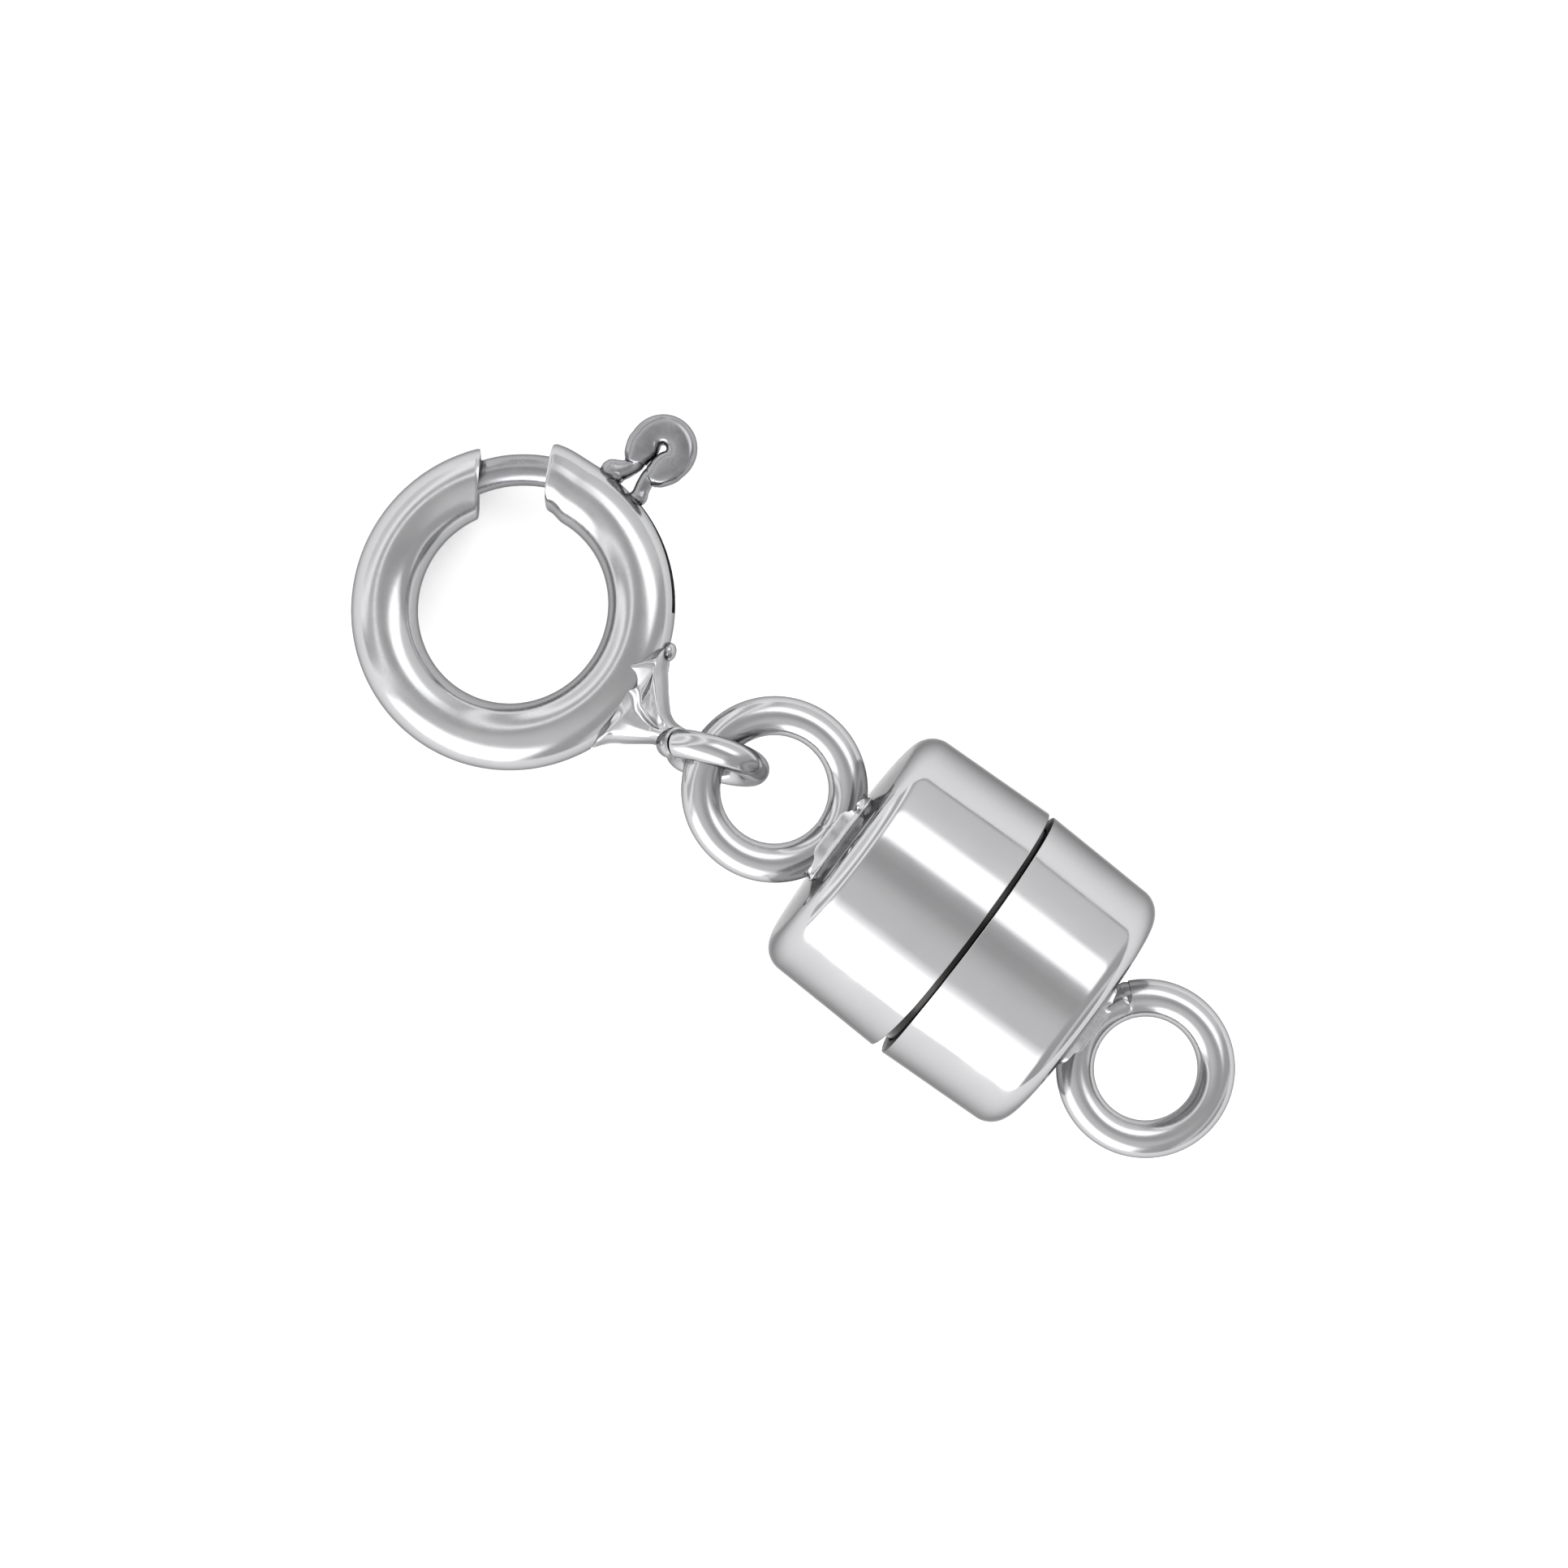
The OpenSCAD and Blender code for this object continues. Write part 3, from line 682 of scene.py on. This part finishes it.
knob = dict(turn=83.3, at=3.435, bend=0.306, half=0.247, thick=0.19, squareness=6, steps=40, legSteps=8)


def makeBolt():
    turn = np.linspace(bolt["tail"], bolt["tip"], bolt["steps"])
    coil = bolt["coil"] + np.interp(turn, *boltDroop)
    nose = np.radians(np.minimum(turn - bolt["tail"], bolt["tip"] - turn)) * bolt["coil"]
    nose = np.clip(nose / bolt["noseRound"], 0, 1)
    radii = bolt["wire"] / 2 - bolt["noseRound"] * (1 - np.sqrt(1 - (1 - nose) ** 2))
    path = np.stack([coil * np.cos(np.radians(turn)), coil * np.sin(np.radians(turn)), 0 * turn], 1)
    # The bolt's greyer rhodium is painted shade
    piece = wirePiece("boltWire", path, radii, "PaintedShadeRhodium")
    return finishPiece(piece, ringPlace, None, "trigger_bolt", ["bolt"])


def makeTrigger():
    left = smoothRows(leftFoot + bothLegs, knob["legSteps"])
    right = smoothRows(rightFoot + bothLegs, knob["legSteps"])
    bend = np.radians(np.linspace(90, -90, knob["steps"]))
    top = np.stack([knob["at"] + knob["bend"] * np.cos(bend), knob["bend"] * np.sin(bend),
                    np.full_like(bend, knob["half"])], 1)
    rows = np.concatenate([left, top, (right * (1, -1, 1))[::-1]])
    path = np.stack([rows[:, 0], rows[:, 1], 0 * rows[:, 0]], 1)
    # The trigger's greyer rhodium is painted shade
    piece = wirePiece("triggerWire", path, rows[:, 2], "PaintedShadeRhodium")
    # Struck flat, which leaves a rounded rim
    where = np.zeros(len(piece.data.vertices) * 3)
    piece.data.vertices.foreach_get("co", where)
    where = where.reshape(-1, 3)
    power = knob["squareness"]
    where[:, 2] /= (1 + np.abs(where[:, 2] / knob["thick"]) ** power) ** (1 / power)
    piece.data.vertices.foreach_set("co", where.ravel())
    place = turned(ringPlace, knob["turn"])
    return finishPiece(piece, place, None, "trigger_bolt", ["trigger"])


print("bolt and trigger")
makeBolt()
makeTrigger()


# Stage: a pale floor in a light tent, with soft panels along the barrel and a grey roof between them

tent = dict(gain=1.12, sideFrom=0.35, sideTo=0.6, floorSize=0.8, floor="#fafafa", underlight=0.2)
# Angle from straight up, towards the barrel's far side, and how bright the tent is there
tentBands = [(-180, 0.9), (-120, 1.0), (-115, 4.8), (-58, 4.8), (-50, 2.5), (-44, 1.6), (-38, 1.02),
             (-20, 0.98), (-10, 0.86), (0, 0.64), (9, 0.6), (17, 0.72), (21, 0.86), (26, 2.4), (48, 2.4),
             (53, 1.2), (70, 1.08), (87, 1.02), (89, 0.6), (92, 0.9), (180, 0.9)]
# Along the barrel, from level past the spring ring (-1) over straight up (0) to level past the tail
# ring (1), and how bright the tent's two ends are there
endBands = [(-1, 1.1), (-0.95, 1.1), (-0.9, 1.7), (-0.85, 1.7), (-0.8, 0.75), (-0.71, 0.75), (-0.65, 1.7),
            (-0.61, 1.7), (-0.56, 0.72), (-0.1, 0.72), (0, 0.9), (0.1, 0.7), (0.74, 0.64), (0.82, 0.62),
            (0.88, 1.1), (0.92, 1.1), (0.96, 0.6), (1, 0.6)]


def bandRamp(tree, factor, bands, brightest):
    node = addNode(tree, "ShaderNodeValToRGB", {0: factor})
    stops = node.color_ramp.elements
    for index, (spot, level) in enumerate(bands):
        stop = stops[index] if index < 2 else stops.new(spot)
        stop.position = spot
        stop.color = (*[level / brightest] * 3, 1)
    return node.outputs[0]


def makeStage():
    world = bpy.data.worlds.new("LightTent")
    bpy.context.scene.world = world
    world.use_nodes = True
    tree = world.node_tree
    tree.nodes.clear()
    way = addNode(tree, "ShaderNodeTexCoord").outputs["Generated"]
    parts = addNode(tree, "ShaderNodeSeparateXYZ", {0: way}).outputs
    tilt = addNode(tree, "ShaderNodeMath", {0: parts["Y"], 1: parts["Z"]}, operation="ARCTAN2")
    share = addNode(tree, "ShaderNodeMapRange", {"Value": tilt.outputs[0], "From Min": -math.pi,
                                                 "From Max": math.pi})
    aside = addNode(tree, "ShaderNodeMath", {0: parts["X"]}, operation="ABSOLUTE")
    brightest = max(level for _, level in tentBands)
    across = bandRamp(tree, share.outputs[0], [((a + 180) / 360, level) for a, level in tentBands], brightest)
    onward = addNode(tree, "ShaderNodeMapRange", {"Value": parts["X"], "From Min": -1.0, "From Max": 1.0})
    along = bandRamp(tree, onward.outputs[0], [((x + 1) / 2, level) for x, level in endBands], brightest)
    atEnd = addNode(tree, "ShaderNodeMapRange", {"Value": aside.outputs[0], "From Min": tent["sideFrom"],
                                                 "From Max": tent["sideTo"]}, interpolation_type="SMOOTHSTEP")
    mixed = addNode(tree, "ShaderNodeMix", {0: atEnd.outputs[0], 6: across, 7: along}, data_type="RGBA")
    glow = addNode(tree, "ShaderNodeBackground", {"Color": mixed.outputs[2],
                                                  "Strength": brightest * tent["gain"]})
    addNode(tree, "ShaderNodeOutputWorld", {"Surface": glow.outputs[0]})
    half = tent["floorSize"] / 2
    floor = newPiece("floor", [(-half, -half, 0), (half, -half, 0), (half, half, 0), (-half, half, 0)], [],
                     [(0, 1, 2, 3)])
    # Opal acrylic, sanded matt: white, and lit a little from below as on a light table
    acrylic = bpy.data.materials.new("OpalAcrylic")
    acrylic.use_nodes = True
    sheet = acrylic.node_tree.nodes["Principled BSDF"]
    sheet.inputs["Base Color"].default_value = linear(tent["floor"])
    sheet.inputs["Roughness"].default_value = 0.9
    sheet.inputs["Emission Color"].default_value = linear(tent["floor"])
    sheet.inputs["Emission Strength"].default_value = tent["underlight"]
    floor.data.materials.append(acrylic)


print("stage and camera")
makeStage()


# Camera: a long lens, almost straight above, with the barrel running down to the right

shot = dict(aim=(-0.563, -0.344, 2.29), frameWidth=24.638, distance=260, turn=37.0, tilt=3.66, sensor=36)


def makeCamera():
    turn, tilt = math.radians(shot["turn"]), math.radians(shot["tilt"])
    back = Vector((-math.sin(tilt), 0, math.cos(tilt)))
    upward = Vector((-math.sin(turn), math.cos(turn), 0))
    upward = (upward - back * upward.dot(back)).normalized()
    lens = bpy.data.cameras.new("shot")
    lens.sensor_width = shot["sensor"]
    lens.lens = shot["sensor"] * shot["distance"] / shot["frameWidth"]
    lens.clip_start, lens.clip_end = 0.01, 10
    camera = bpy.data.objects.new("shot", lens)
    bpy.context.scene.collection.objects.link(camera)
    facing = Matrix((upward.cross(back), upward, back)).transposed().to_4x4()
    camera.matrix_world = Matrix.Translation((Vector(shot["aim"]) + back * shot["distance"]) * mm) @ facing
    bpy.context.scene.camera = camera


makeCamera()
bpy.context.scene.view_settings.view_transform = "Standard"
